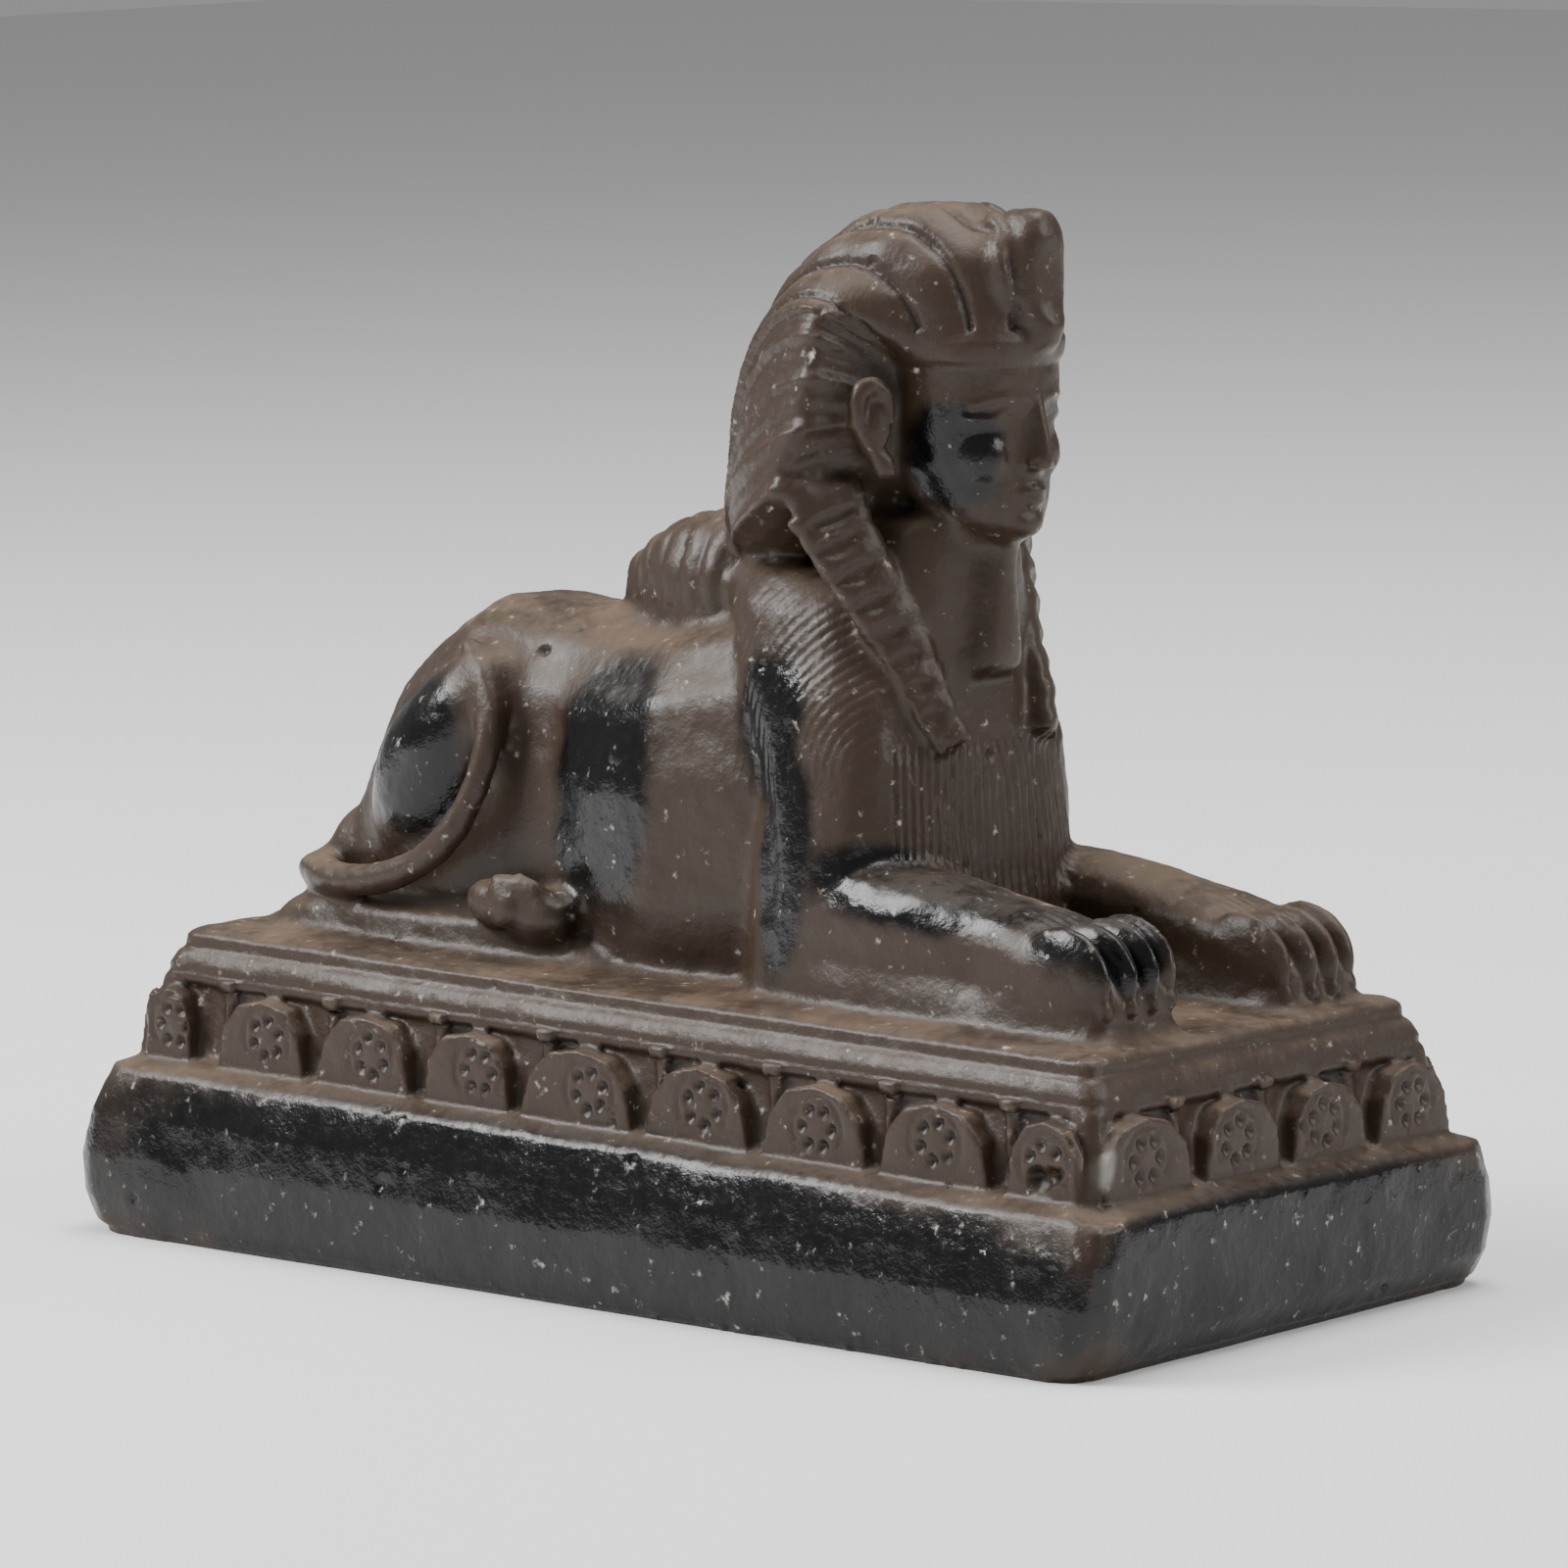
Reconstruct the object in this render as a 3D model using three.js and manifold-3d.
// A recumbent sphinx with a striped headcloth, cast in one piece with its moulded plinth.
// Millimetres. +X is the way the sphinx looks, +Y its left, +Z up. The origin is the middle of the underside.
import * as THREE from "three";
import { mergeVertices } from "three/addons/utils/BufferGeometryUtils.js";
import Module from "manifold-3d";

const wasm = await Module();
wasm.setup();

// Driving dimensions.
const plinthLength = 220; // over the top edge of the socle
const plinthWidth = 95.5;
const socleHeight = 25.5;
const plinthHeight = 49;
const friezeBottom = 27.8;
const friezeTop = 41;
// From where to where each arch stands: along a side from the back, and across an end from the right.
const sideArches = [
  [-106, -94.4],
  [-88, -66.8],
  [-64, -41.6],
  [-38.4, -18.3],
  [-16, 9.6],
  [12.2, 35.4],
  [37.8, 61],
  [63.4, 86.8],
  [90, 105.6],
];
const endArches = [
  [-45, -22.6],
  [-19.4, 0.6],
  [3, 22.6],
  [25.2, 45],
];
const archHeight = 13;
const archSetback = 1; // of the arches' upright faces from the socle's top edge
const chinHeight = 125;
const faceHeight = 34; // chin to hairline, which is under the hem of the headcloth
const hemHeight = 154.5; // lower edge of the cloth over the brow
const faceFront = 57;
const faceHalfWidth = 12.8;
const backHeight = 108;
const bodyBase = plinthHeight - 1.5; // forms that stand on the plinth start inside it
const bodyUnder = plinthHeight - 10; // and the trunk's rounded belly lies deeper still
const rightLeg = { middle: -21, top: 73 }; // the forelegs lie a little unevenly
const leftLeg = { middle: 25, top: 70.6 };
const pawFront = 97.5;
const forwardLean = 0.016; // the casting stands a little lower in front
const sideLean = 0.012; // and to the left
const leanRise = 1.6;
// Grooves between the stripes of the headcloth, as shares of the way from the brow to under the chin.
const stripeGrooves = [0, 0.058, 0.114, 0.17, 0.285, 0.375, 0.458, 0.542, 0.625, 0.708, 0.79, 0.87, 1];
const fluteCount = 24; // locks of the mane across the breast
const lappetSegments = 9;

const TAU = 2 * Math.PI;
const mix = (a, b, t) => a + (b - a) * t;
const vec = (x, y, z) => new THREE.Vector3(x, y, z);

// Straight-line interpolation in rows of [key, value, value, ...].
function tableAt(rows, key) {
  let i = 1;
  while (i < rows.length - 1 && rows[i][0] < key) i += 1;
  const [a, b] = [rows[i - 1], rows[i]];
  const t = THREE.MathUtils.clamp((key - a[0]) / (b[0] - a[0]), 0, 1);
  return a.map((value, column) => mix(value, b[column], t));
}

// A closed mesh as a solid that can be joined and cut.
function solid(geometry) {
  const bare = new THREE.BufferGeometry();
  bare.setAttribute("position", geometry.getAttribute("position"));
  bare.setIndex(geometry.getIndex());
  const merged = mergeVertices(bare, 1e-4);
  return new wasm.Manifold(
    new wasm.Mesh({
      numProp: 3,
      vertProperties: merged.attributes.position.array,
      triVerts: new Uint32Array(merged.index.array),
    }),
  );
}

const union = (solids) => solids.reduce((a, b) => a.add(b));

// The same solid on the other side of the middle plane.
const mirrored = (made) => made.mirror([0, 1, 0]);

// A closed skin over rings of equally many points. Rings run against the clock seen from the far end.
function loft(rings) {
  const count = rings[0].length;
  const centre = (ring) =>
    ring.reduce((sum, p) => sum.add(p), vec(0, 0, 0)).divideScalar(count);
  const points = rings.flat();
  points.push(centre(rings[0]), centre(rings.at(-1)));
  const [firstCentre, lastCentre] = [points.length - 2, points.length - 1];
  const lastRing = (rings.length - 1) * count;
  const faces = [];
  for (let i = 0; i < count; i += 1) {
    const next = (i + 1) % count;
    for (let k = 0; k < lastRing; k += count)
      faces.push(k + i, k + next, k + count + next, k + i, k + count + next, k + count + i);
    faces.push(firstCentre, next, i);
    faces.push(lastCentre, lastRing + i, lastRing + next);
  }
  const geometry = new THREE.BufferGeometry().setFromPoints(points);
  geometry.setIndex(faces);
  return solid(geometry);
}

// Points of a superellipse: power 2 is an ellipse, and more is squarer. Half sizes may differ up and down.
function superellipse(count, halfWidth, halfUp, halfDown, power) {
  return Array.from({ length: count }, (_, i) => {
    const angle = (TAU * (i + 0.5)) / count;
    const [c, s] = [Math.cos(angle), Math.sin(angle)];
    const bend = (v) => Math.sign(v) * Math.abs(v) ** (2 / power);
    return [halfWidth * bend(c), (s > 0 ? halfUp : halfDown) * bend(s)];
  });
}

// Upright sections square to X, from rows of [x, middle y, half width, bottom z, widest z, top z].
function alongX(rows, count, power) {
  return loft(
    rows.map(([x, y, half, bottom, widest, top]) =>
      superellipse(count, half, top - widest, widest - bottom, power).map(([across, up]) =>
        vec(x, y + across, widest + up),
      ),
    ),
  );
}

// Level sections, from rows of [z, middle x, middle y, half length, half width].
function alongZ(rows, count, power) {
  return loft(
    rows.map(([z, x, y, halfLength, halfWidth]) =>
      superellipse(count, halfLength, halfWidth, halfWidth, power).map(([a, b]) =>
        vec(x + a, y + b, z),
      ),
    ),
  );
}

// A ball stretched to three radii, then turned and set in place.
function blob(place, radii, turn = [0, 0, 0], columns = 14, rows = 10) {
  const geometry = new THREE.SphereGeometry(1, columns, rows);
  const matrix = new THREE.Matrix4().compose(
    vec(...place),
    new THREE.Quaternion().setFromEuler(new THREE.Euler(...turn)),
    vec(...radii),
  );
  return solid(geometry.applyMatrix4(matrix));
}

// A round bar along a smooth curve, thick or thin as radiusAt(0 to 1) says, with rounded ends.
function bar(points, radiusAt, steps, sides = 8) {
  const curve = new THREE.CatmullRomCurve3(points.map((p) => vec(...p)));
  const rings = [];
  const { normals, binormals } = curve.computeFrenetFrames(steps, false);
  for (let k = 0; k <= steps; k += 1) {
    const middle = curve.getPointAt(k / steps);
    const radius = radiusAt(k / steps);
    rings.push(
      Array.from({ length: sides }, (_, i) => {
        const angle = (TAU * i) / sides;
        return middle
          .clone()
          .addScaledVector(normals[k], radius * Math.cos(angle))
          .addScaledVector(binormals[k], radius * Math.sin(angle));
      }),
    );
  }
  return loft(rings);
}

// ---- Plinth: a swelling socle, a sloping frieze of arches, and a moulded top.

// How far the plinth's skin stands outside the socle's top edge, as rows of
// [height, at the front end, at the back end, along the sides]. The front of the socle is flatter.
const plinthProfile = [
  [0, -1.6, 0.4, 4.2],
  [1.6, 0.4, 4.4, 5.4],
  [6, 2.6, 7, 6],
  [12, 3.4, 7.4, 6.2],
  [18.5, 3.8, 5.6, 5.2],
  [socleHeight - 1, 3.4, 2.6, 3.2],
  [socleHeight, 2.6, 1.6, 2.4],
  [friezeBottom - 0.8, -1.2, -1.2, -1.2],
  [friezeBottom, -3.7, -3.7, -3.7],
  [friezeTop - 1.4, -6.1, -6.1, -6.1],
  [friezeTop - 0.8, -4.6, -4.6, -4.6],
  [friezeTop + 0.6, -4.6, -4.6, -4.6],
  [friezeTop + 1.1, -5.4, -5.4, -5.4],
  [friezeTop + 1.8, -4.8, -4.8, -4.8],
  [plinthHeight - 3.6, -6, -6, -6],
  [plinthHeight - 3.2, -6.9, -6.9, -6.9],
  [plinthHeight - 0.8, -7.1, -7.1, -7.1],
  [plinthHeight, -8.6, -8.6, -8.6],
];

function plinthRing([height, front, back, sides]) {
  const corner = height < socleHeight ? 5 : 3;
  const steps = 2;
  const ring = [];
  for (let i = 0; i < 4 * (steps + 1); i += 1) {
    const quarter = Math.floor(i / (steps + 1));
    const angle = (TAU / 4) * (quarter + (i % (steps + 1)) / steps);
    const toFront = quarter === 0 || quarter === 3;
    const reach = plinthLength / 2 + (toFront ? front : back) - corner;
    const halfWidth = plinthWidth / 2 + sides - corner;
    ring.push(
      vec(
        (toFront ? reach : -reach) + corner * Math.cos(angle),
        (quarter < 2 ? halfWidth : -halfWidth) + corner * Math.sin(angle),
        height,
      ),
    );
  }
  return ring;
}

// The outline of one arch of the frieze, standing on its foot.
function archShape(width, height) {
  const half = width / 2;
  const shape = new THREE.Shape();
  shape.moveTo(-half, 0);
  shape.lineTo(half, 0);
  shape.bezierCurveTo(half * 0.95, height * 0.75, half * 0.6, height, 0, height);
  shape.bezierCurveTo(-half * 0.6, height, -half * 0.95, height * 0.75, -half, 0);
  return shape;
}

// A row of arches for the face of the plinth that looks along +Y.
const archRow = (spans) =>
  spans.map(([from, to]) => {
    const plate = new THREE.ExtrudeGeometry(archShape(to - from, archHeight), {
      depth: 6,
      bevelEnabled: false,
      curveSegments: 3,
    });
    plate.rotateX(Math.PI / 2);
    return plate.translate((from + to) / 2, -archSetback, friezeBottom - 1.2);
  });

// The plain upright strip at each corner of the frieze.
function cornerPost(sx, sy) {
  return alongZ(
    [
      [friezeBottom - 0.6, sx * (plinthLength / 2 - 5), sy * (plinthWidth / 2 - 5), 3.2, 3.2],
      [friezeTop, sx * (plinthLength / 2 - 7.6), sy * (plinthWidth / 2 - 7.6), 3.2, 3.2],
    ],
    8,
    3,
  );
}

function plinth() {
  const block = loft(plinthProfile.map(plinthRing));
  const posts = [cornerPost(1, 1), cornerPost(-1, 1), cornerPost(-1, -1), cornerPost(1, -1)];
  const quarter = Math.PI / 2;
  const faces = [
    { spans: sideArches, reach: plinthWidth / 2, turn: 0 },
    { spans: sideArches.map(([from, to]) => [-to, -from]), reach: plinthWidth / 2, turn: 2 * quarter },
    { spans: endArches.map(([from, to]) => [-to, -from]), reach: plinthLength / 2, turn: -quarter },
    { spans: endArches, reach: plinthLength / 2, turn: quarter },
  ];
  const arches = faces.flatMap(({ spans, reach, turn }) =>
    archRow(spans).map((plate) => solid(plate.translate(0, reach, 0).rotateZ(turn))),
  );
  return union([block, ...posts, ...arches]);
}

// ---- Lion's body.

function trunk() {
  return alongX(
    [
      [-91, 0, 15, bodyUnder, 54, 61],
      [-88.5, 0, 17, bodyUnder, 56, 69],
      [-82, 0, 17.5, bodyUnder, 60, 83],
      [-75, 0, 20.5, bodyUnder, 64, 96],
      [-66, 0, 23.5, bodyUnder, 68, 104],
      [-56, 0, 24.5, bodyUnder, 70, backHeight + 1],
      [-44, 0, 22.5, bodyUnder, 72, backHeight + 0.4],
      [-33, 0, 22, bodyUnder, 70, 107.8],
      [-20, 0, 25.5, bodyUnder, 70, 107],
      [-6, 0, 28, bodyUnder, 70, 109.5],
      [20, 0, 24, bodyUnder, 72, 116],
      [36, 0, 21, bodyUnder, 72, 114],
    ],
    16,
    2.5,
  );
}

// The low mass that the hindquarters rest on, spreading on to the plinth.
const restingBed = () =>
  alongX(
    [
      [-100.6, 0, 20, bodyUnder, 49.2, 50],
      [-97, 0, 23, bodyUnder, 49.6, 51.8],
      [-93.4, 0, 26, bodyUnder, 50, 55],
      [-86, 0, 28.6, bodyUnder, 50, 57.4],
      [-62, 0, 30, bodyUnder, 50, 59.4],
      [-42, 0, 28.8, bodyUnder, 50, 60],
      [-31, 0, 27.6, bodyUnder, 50, 57.5],
      [-18, 0, 26.4, bodyUnder, 49, 53],
    ],
    10,
    3,
  );

// The swell of neck and withers under the headcloth.
const withers = () => blob([16, 0, 112], [22, 19, 10], [0, 0.08, 0], 10, 6);

// The bulge of the thigh, folded against the flank.
const haunch = () => blob([-59.5, -16, 80], [25, 12.5, 13], [0.1, -0.9, 0], 12, 8);

// The toes of the foot tucked under the thigh.
function hindFoot() {
  const foot = blob([-31, -26.6, 57], [9.5, 4.4, 5.4], [0, 0, 0], 7, 5);
  const toes = [
    [-36.2, -29.2, 60.8, 2.9],
    [-32, -28.9, 62.4, 2.1],
    [-28.6, -28.4, 61.8, 1.7],
  ].map(([x, y, z, size]) => blob([x, y, z], [size, size, 1.7 * size], [0, -0.4, 0], 6, 4));
  return union([foot, ...toes]);
}

// The tail leaves the rump low down and curls round the right thigh to a tuft near its top.
function tail() {
  const route = [
    [-88, 6, 56],
    [-94, -8, 57.8],
    [-91, -20, 58.8],
    [-78, -27, 58.4],
    [-63, -28.6, 60.4],
    [-50.5, -29, 66.4],
    [-44, -27.4, 76.5],
    [-42, -25.2, 87],
    [-45.5, -23, 95.5],
    [-52, -20, 100],
  ];
  const thickness = (t) => (t < 0.86 ? mix(3.1, 2.1, t) : 2.9 - 12 * (t - 0.92) ** 2 * 8);
  const root = blob([-84.5, -7, 62], [10, 12, 8.5], [0, 0, 0], 7, 5);
  return root.add(bar(route, thickness, 16, 6));
}

// The upper arm, from the shoulder down to the elbow on the plinth.
function upperArm(side) {
  return alongZ(
    [
      [bodyBase, 31, side * 24, 10.5, 7.5],
      [60, 31.5, side * 24, 10, 7],
      [70, 33, side * 23.3, 10.4, 7.4],
      [80, 32, side * 22.2, 12.2, 7.6],
      [90, 30, side * 20.6, 14.6, 8],
      [99, 26.6, side * 18.6, 15.6, 8.4],
      [107, 22.6, side * 15.8, 15.8, 9],
      [113.5, 20, side * 13, 16.5, 9.6],
      [119, 19, side * 10, 11, 8],
    ],
    11,
    2.1,
  );
}

// A foreleg along the plinth, on a low bed of the same width, with four toes at the end.
function foreleg({ middle: y, top }) {
  const leg = alongX(
    [
      [20, y, 7.5, bodyBase, 57, top - 9],
      [30, y, 9.8, bodyBase, 60, top - 1.5],
      [44, y, 10.8, bodyBase, 61, top],
      [56, y, 10.6, bodyBase, 61, top - 0.8],
      [70, y, 10, bodyBase, 59, top - 3.2],
      [79, y, 10.9, bodyBase, 58, top - 4.8],
      [85, y, 11.4, bodyBase, 58, top - 7.2],
      [91.4, y, 11, bodyBase, 57, top - 10.2],
      [pawFront - 0.8, y, 8.8, bodyBase, 54, top - 16.4],
    ],
    12,
    2.7,
  );
  const bed = alongX(
    [
      [20, y, 9, bodyBase, 50, 56],
      [40, y, 12.4, bodyBase, 51, 57.5],
      [80, y, 12, bodyBase, 51, 55],
      [94, y, 11.2, bodyBase, 50, 53],
      [pawFront, y, 9.6, bodyBase, 49.4, 51],
    ],
    8,
    4,
  );
  const toes = [-1.5, -0.5, 0.5, 1.5].map((step) =>
    blob([88 - 0.5 * step * step, y + step * 5.4, top - 14.6], [9.8, 3, 8.2], [0, 0.3, 0], 7, 5),
  );
  return union([leg, bed, ...toes]);
}

// The breast and throat between the arms: [height, middle x, reach forward, half width].
const breastRows = [
  [bodyBase, 30, 22.5, 28.5],
  [64, 30, 21.5, 29],
  [77, 30, 20, 28.5],
  [85, 30, 19.3, 27.5],
  [93, 30, 18.2, 26],
  [104, 30.5, 15.8, 21.6],
  [116, 33, 14, 17],
  [chinHeight + 3, 35, 12.5, 13],
];
const breastPower = 2.6;

const breast = () =>
  alongZ(
    breastRows.map(([z, x, reach, half]) => [z, x, 0, reach, half]),
    18,
    breastPower,
  );

// The locks of the mane: upright flutes standing on the lower breast, between the arms.
function maneLocks() {
  const arc = 0.88; // to each side of straight ahead, as the superellipse counts it
  const bend = (v) => Math.sign(v) * Math.abs(v) ** (2 / breastPower);
  const heights = [62, 65, 89, 92];
  return loft(
    heights.map((z, level) => {
      const [, x, reach, half] = tableAt(breastRows, z);
      const proud = level === 0 || level === heights.length - 1 ? -0.4 : 0.55;
      const outline = (out) =>
        new THREE.CatmullRomCurve3(
          Array.from({ length: 13 }, (_, i) => {
            const angle = mix(-arc, arc, i / 12);
            const forward = (reach + out) * bend(Math.cos(angle));
            return vec(x + forward, (half + out) * bend(Math.sin(angle)), z);
          }),
        );
      const crest = outline(proud);
      const valley = outline(-0.35);
      const steps = 2 * fluteCount;
      const ring = Array.from({ length: steps + 1 }, (_, i) =>
        (i % 2 ? valley : crest).getPointAt(i / steps),
      );
      ring.push(vec(x - 4, 0, z));
      return ring;
    }),
  );
}

// ---- Head, headcloth and beard.

// The face is a calm oval on even proportions: brow and nose foot at the thirds of its height, eyes a
// little under the brow, the mouth a third of the way down from nose to chin, five eyes to its width.
function face() {
  const third = faceHeight / 3;
  const noseFoot = chinHeight + third;
  const brow = noseFoot + third;
  const eyeHeight = brow - 0.23 * third;
  const mouthHeight = noseFoot - third / 3;
  const eyeSide = 0.2 * 2 * faceHalfWidth;
  const head = alongZ(
    [
      [chinHeight, 49.5, 0, 4.5, 4],
      [chinHeight + 1.6, 47.7, 0, 8.2, 6.8],
      [chinHeight + 6, 44.8, 0, 11.3, 10],
      [noseFoot, 43, 0, 13.2, 11.9],
      [eyeHeight, 42.4, 0, 13.8, faceHalfWidth],
      [brow, 42.4, 0, faceFront - 42.4, faceHalfWidth],
      [hemHeight, 42.4, 0, faceFront - 42.6, faceHalfWidth - 0.2],
      [hemHeight + 6, 42, 0, 13.6, 11.6],
    ],
    14,
    2.3,
  );
  const sockets = [-1, 1].map((side) =>
    blob([faceFront + 0.6, side * eyeSide, eyeHeight], [3, 4.1, 2.3], [0, 0, side * 0.3], 8, 5),
  );
  const nose = loft(
    [
      [noseFoot - 0.6, faceFront - 1.4, 1.9],
      [noseFoot + 0.3, faceFront + 2.6, 2.9],
      [noseFoot + 2.2, faceFront + 3.4, 2.4],
      [mix(noseFoot, brow, 0.6), faceFront + 1.3, 1.6],
      [brow, faceFront - 0.2, 1.5],
    ].map(([z, front, half]) =>
      [[-5, -half], [-1.4, -half], [0, 0], [-1.4, half], [-5, half]].map(([back, y]) =>
        vec(front + back, y, z),
      ),
    ),
  );
  const features = [
    nose,
    blob([faceFront - 1.7, 0, mouthHeight + 0.85], [2.7, 3.9, 0.95], [0, 0, 0], 7, 4),
    blob([faceFront - 1.9, 0, mouthHeight - 1.05], [2.6, 3.4, 1.05], [0, 0, 0], 7, 4),
    blob([faceFront - 3.4, 0, chinHeight + 2.7], [3.7, 4.2, 2.9], [0, 0, 0], 7, 4),
  ];
  for (const side of [-1, 1]) {
    features.push(
      blob([faceFront - 3.6, side * eyeSide, eyeHeight], [2.7, 2.8, 1.5], [0, 0, side * 0.3], 8, 4),
      bar(
        [
          [faceFront - 0.3, side * 1.9, brow + 0.2],
          [faceFront - 0.8, side * 5.2, brow + 1.1],
          [faceFront - 4.4, side * 9.6, brow - 0.2],
        ],
        () => 0.8,
        3,
        4,
      ),
    );
  }
  return union([sockets.reduce((made, socket) => made.subtract(socket), head), ...features]);
}

// An ear standing on the front of the wing, close beside the cheek.
function ear(side) {
  const height = mix(chinHeight, hemHeight, 0.6);
  const rim = bar(
    [
      [39.8, side * 17.6, height - 7],
      [37.6, side * 20.4, height - 2],
      [36.4, side * 21.8, height + 4],
      [38, side * 19.6, height + 7.4],
      [40, side * 17, height + 3.6],
    ],
    (t) => 1.7 - 0.6 * t,
    5,
    5,
  );
  return rim.add(blob([37.4, side * 18.2, height], [3.8, 2.8, 5.2], [side * 0.2, 0, 0.5 * side], 6, 5));
}

// The headcloth spreads from the queue at the nape to its front edge, which runs over the brow, back
// up to the top of the side wing, and down the wing. Each stripe is a ridge along that way.
function headcloth() {
  // From the middle of the brow round to under the chin: the edge, and how far the cloth bulges
  // from the straight way there at one third and two thirds.
  const edge = [
    [58, 0, 159],
    [54, 9.5, 158.5],
    [45, 15, 155.5],
    [32, 24.5, 163],
    [31, 26.8, 156],
    [31, 28.5, 145],
    [25, 29, 130],
    [30, 0, 121],
  ];
  const rise = [
    [-18, 0, 51.4],
    [-16, 3, 50.4],
    [-11, 5.6, 40],
    [-5, 3.4, 22],
    [-4.2, 2.2, 13],
    [-4.8, 6.4, 4],
    [-1, 6, -2],
    [0, 0, 0],
  ];
  const fall = [
    [22, 0, 44.6],
    [20, 4, 42.6],
    [14, 8.6, 35.2],
    [2.5, 4, 16],
    [-2, 2.2, 10],
    [-3.2, 6, 3],
    [0, 6, -2],
    [0, 0, 0],
  ];
  const [edgeLine, riseLine, fallLine] = [edge, rise, fall].map(
    (rows) => new THREE.CatmullRomCurve3(rows.map((row) => vec(...row))),
  );
  const axis = new THREE.Line3(vec(0, 0, 120), vec(46, 0, 148));
  // Round the ring from the middle of the brow by the right side: a groove, a ridge, a groove...
  const half = stripeGrooves.slice(0, -1).flatMap((groove, i) => {
    const ridge = (groove + stripeGrooves[i + 1]) / 2;
    const low = { share: groove, height: -0.7 };
    return i < stripeGrooves.length - 2 ? [low, { share: ridge, height: 0.7 }] : [low, { share: ridge, height: 0 }];
  });
  const turns = [
    ...half.map((point) => ({ ...point, side: -1 })),
    { share: 1, side: 1, height: 0 },
    ...half.slice(1).reverse().map((point) => ({ ...point, side: 1 })),
  ];
  const steps = 6;
  const rings = [];
  for (let k = 0; k <= steps + 1; k += 1) {
    const along = Math.min(1, k / steps);
    rings.push(
      turns.map(({ share, side, height }) => {
        const start = vec(-2.5, 10 * Math.sin(Math.PI * share), 123 + 4 * Math.cos(Math.PI * share));
        const end = edgeLine.getPoint(share);
        const first = start.clone().lerp(end, 1 / 3).add(riseLine.getPoint(share));
        const second = start.clone().lerp(end, 2 / 3).add(fallLine.getPoint(share));
        const point = new THREE.CubicBezierCurve3(start, first, second, end).getPoint(along);
        const onAxis = axis.closestPointToPoint(point, true, vec(0, 0, 0));
        const outward = point.clone().sub(onAxis).normalize();
        point.addScaledVector(outward, height * Math.min(1, 5 * along));
        if (k > steps) point.lerp(vec(44, 0, 146), 0.5);
        point.y *= side;
        return point;
      }),
    );
  }
  return loft(rings);
}

// The hem of the cloth across the brow.
const browBand = () =>
  alongZ(
    [
      [hemHeight - 0.6, 42, 0, 15, 13.4],
      [hemHeight, 42, 0, 16, 14.6],
      [hemHeight + 3.4, 42, 0, 16.2, 14.6],
      [hemHeight + 5, 42, 0, 15, 13.4],
    ],
    14,
    2.2,
  );

// The rearing cobra on the brow: a coiled body, a spread hood and a blunt head, worn down.
function cobra() {
  const hood = alongZ(
    [
      [156.5, 56, 0, 4.6, 3],
      [160.5, 57.4, 0, 4.8, 3.6],
      [163, 56, 0, 4.4, 5],
      [169, 55.4, 0, 4.6, 6],
      [175, 55.8, 0, 5, 5],
      [179, 56, 0, 3, 2.8],
    ],
    8,
    2.8,
  );
  const coil = (side) =>
    bar(
      [
        [57.4, side * 2.6, 163],
        [56, side * 5.4, 165],
        [54, side * 6.6, 169.5],
        [52.2, side * 5, 174],
        [50, side * 2.4, 176.6],
      ],
      () => 2.1,
      4,
      5,
    );
  const nape = blob([52.8, 0, 170.5], [5.4, 5.4, 7.4], [0, 0, 0], 8, 6); // the body behind the hood
  return union([hood, coil(1), coil(-1), nape]);
}

// A ridged strip: boxes with rounded corners along a curve, thick and thin by turns.
function ridgedStrip(points, segments, halfWidthAt, halfDepth, acrossAt) {
  const curve = new THREE.CatmullRomCurve3(points.map((p) => vec(...p)));
  const rings = [];
  const stations = 2 * segments + 1;
  for (let k = 0; k < stations; k += 1) {
    const t = k / (stations - 1);
    const middle = curve.getPointAt(t);
    const along = curve.getTangentAt(t);
    const across = acrossAt(t).projectOnPlane(along).normalize();
    const out = along.clone().cross(across).normalize();
    const depth = halfDepth * (k % 2 ? 1 : 0.72);
    const width = halfWidthAt(t) * (k % 2 ? 1 : 0.94);
    rings.push(
      superellipse(8, width, depth, depth, 3).map(([a, b]) =>
        middle.clone().addScaledVector(across, a).addScaledVector(out, b),
      ),
    );
  }
  return loft(rings);
}

// The pleated end of the headcloth, from the front of the wing down over the breast.
const lappet = () =>
  ridgedStrip(
    [
      [30.8, -23.2, 134],
      [33, -22.6, 126],
      [37.4, -19, 117],
      [42.2, -15.4, 107],
      [46.6, -14, 98],
      [49.6, -11.6, 91],
    ],
    lappetSegments,
    (t) => mix(8, 3.2, t ** 0.6),
    2.6,
    () => vec(0.55, 0.83, 0),
  );

// The false beard, a plain slab that widens downwards and lies against the breast.
const beard = () =>
  alongZ(
    [
      [102.6, 45.6, 0, 5.4, 5.2],
      [104, 45.8, 0, 5.6, 5.2],
      [114, 46, 0, 5.6, 3.9],
      [chinHeight + 1.5, 46.4, 0, 5.8, 3],
    ],
    8,
    4,
  );

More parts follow.
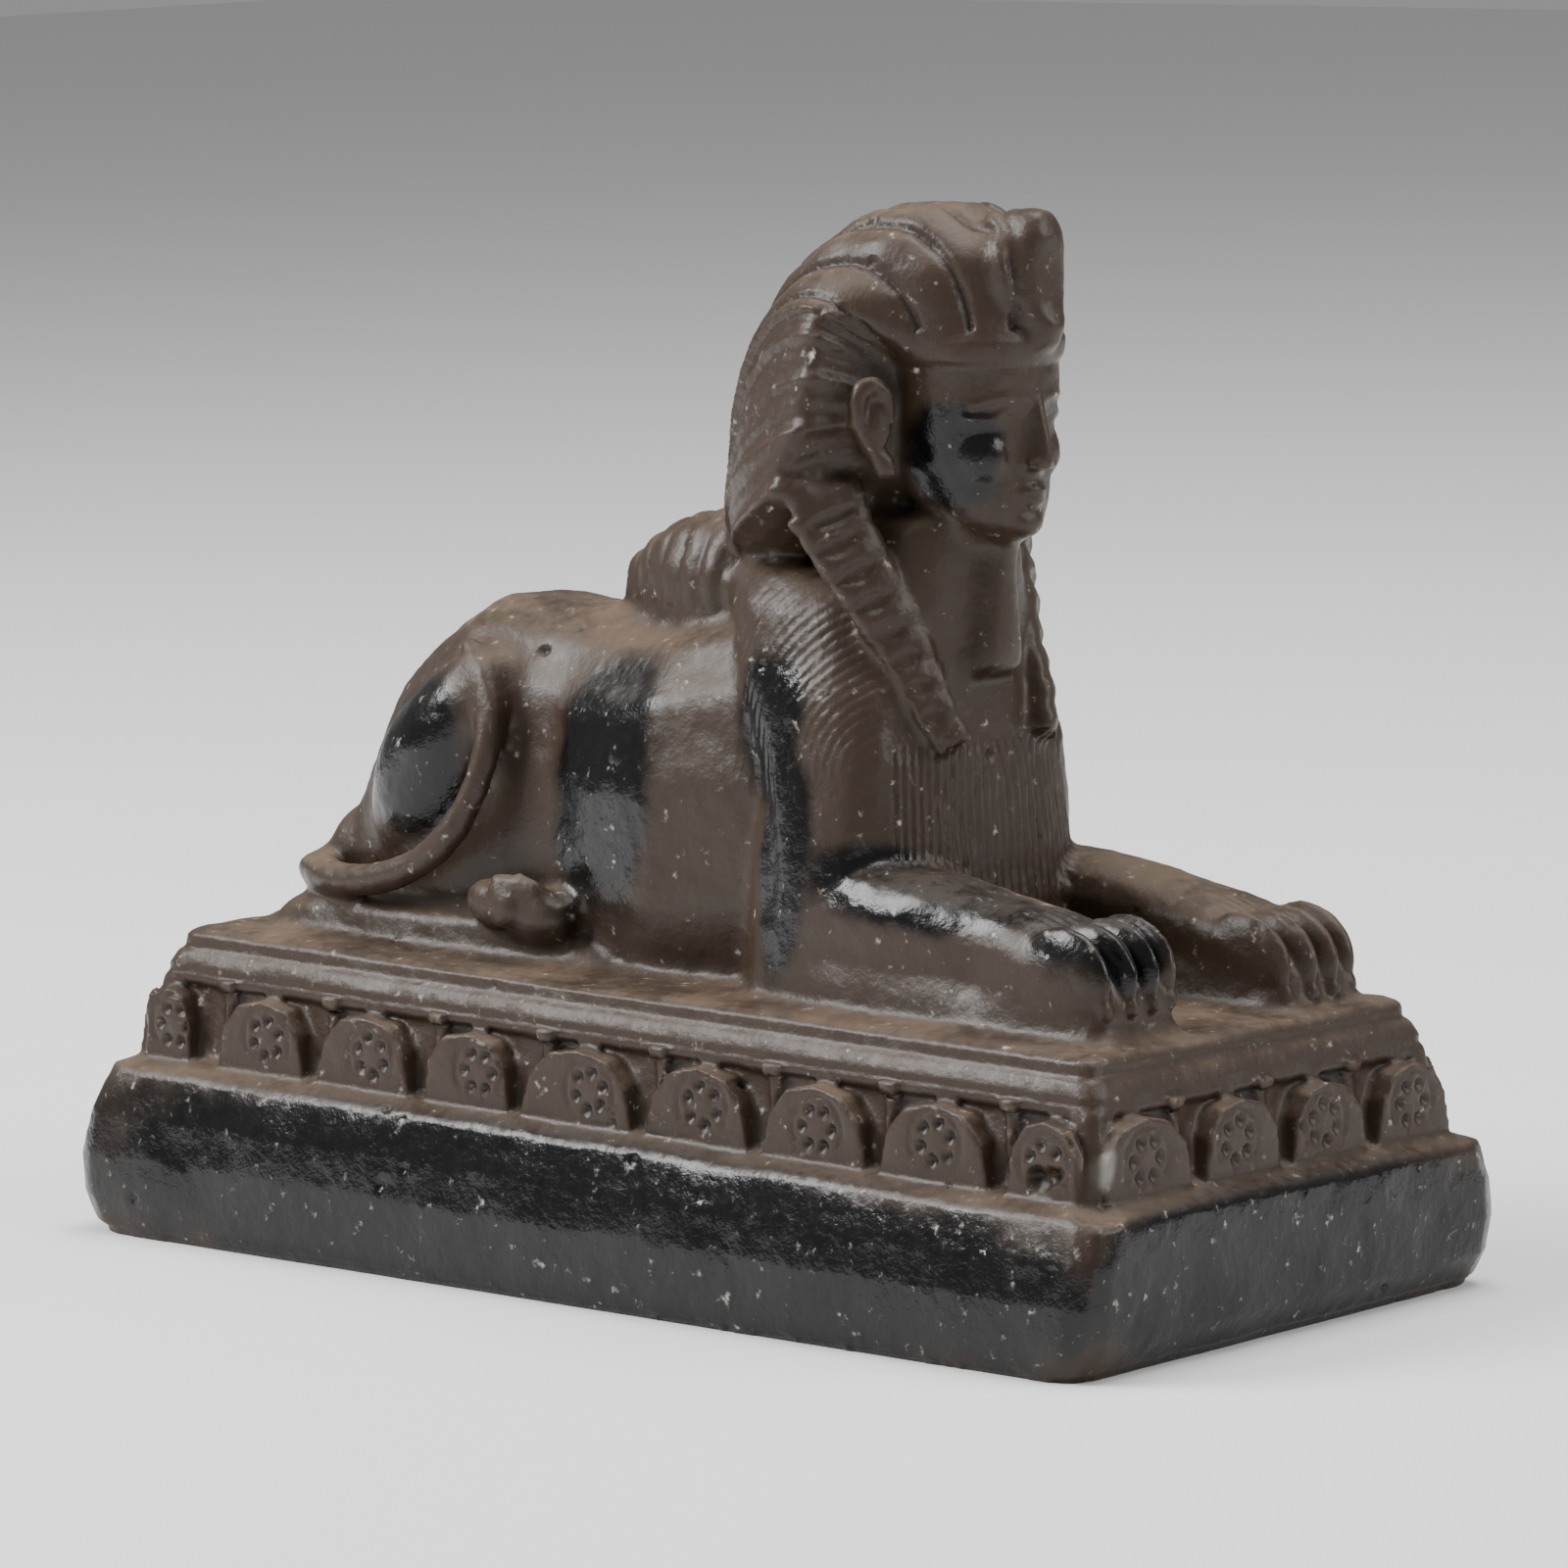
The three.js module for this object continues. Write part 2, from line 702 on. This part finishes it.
// The bound tail of the headcloth, lying ribbed on the sphinx's back.
function queue() {
  const ribs = 5;
  const rows = [];
  for (let k = 0; k <= 2 * ribs; k += 1) {
    const t = k / (2 * ribs);
    const swell = Math.sin(Math.PI * Math.min(0.97, 0.1 + 0.68 * t + 0.22)) ** 0.6;
    const ridge = k % 2 ? 1 : 0.88;
    const top = mix(126.4, 122.4, t ** 1.5) - 104;
    const height = top * (0.55 + 0.45 * swell) * (0.97 + 0.03 * ridge);
    rows.push([mix(-2, -33.5, t), 0, mix(13, 8.5, t) * swell * ridge, 100, 110, 104 + height]);
  }
  return alongX(rows.reverse(), 10, 2.3);
}

// ---- The whole cast.

function sphinx() {
  const halves = [upperArm(-1), upperArm(1), ear(-1), ear(1)];
  const right = [haunch(), hindFoot(), lappet()];
  return union([
    plinth(),
    trunk(),
    restingBed(),
    withers(),
    ...right,
    ...right.map(mirrored),
    ...halves,
    tail(),
    foreleg(rightLeg),
    foreleg(leftLeg),
    breast(),
    maneLocks(),
    face(),
    headcloth(),
    browBand(),
    cobra(),
    beard(),
    queue(),
  ]);
}

// The finished casting as a mesh, settled on its underside: above the socle it leans by about a
// degree, and the middle of its box stands over the origin.
function meshOf(made, name, material) {
  const { numProp, vertProperties, triVerts } = made.getMesh();
  const count = vertProperties.length / numProp;
  const positions = new THREE.BufferAttribute(new Float32Array(3 * count), 3);
  for (let i = 0; i < count; i += 1) {
    const [x, y, z] = vertProperties.subarray(i * numProp, i * numProp + 3);
    const share = Math.min(1, z / socleHeight);
    const lift = share * (leanRise - forwardLean * x - sideLean * y);
    positions.setXYZ(i, x + forwardLean * z, y + sideLean * z, z + lift);
  }
  const geometry = new THREE.BufferGeometry();
  geometry.setAttribute("position", positions);
  geometry.setIndex(new THREE.BufferAttribute(new Uint32Array(triVerts), 1));
  geometry.computeBoundingBox();
  const middle = geometry.boundingBox.getCenter(vec(0, 0, 0));
  geometry.translate(-middle.x, -middle.y, 0);
  geometry.computeVertexNormals();
  const mesh = new THREE.Mesh(geometry, material);
  mesh.name = name;
  return mesh;
}

const patinatedPlaster = new THREE.MeshStandardMaterial({
  color: new THREE.Color(0.075, 0.052, 0.038),
  roughness: 0.45,
  metalness: 0,
});

const group = new THREE.Group();
group.add(meshOf(sphinx(), "sphinx_on_plinth", patinatedPlaster));

export default group;
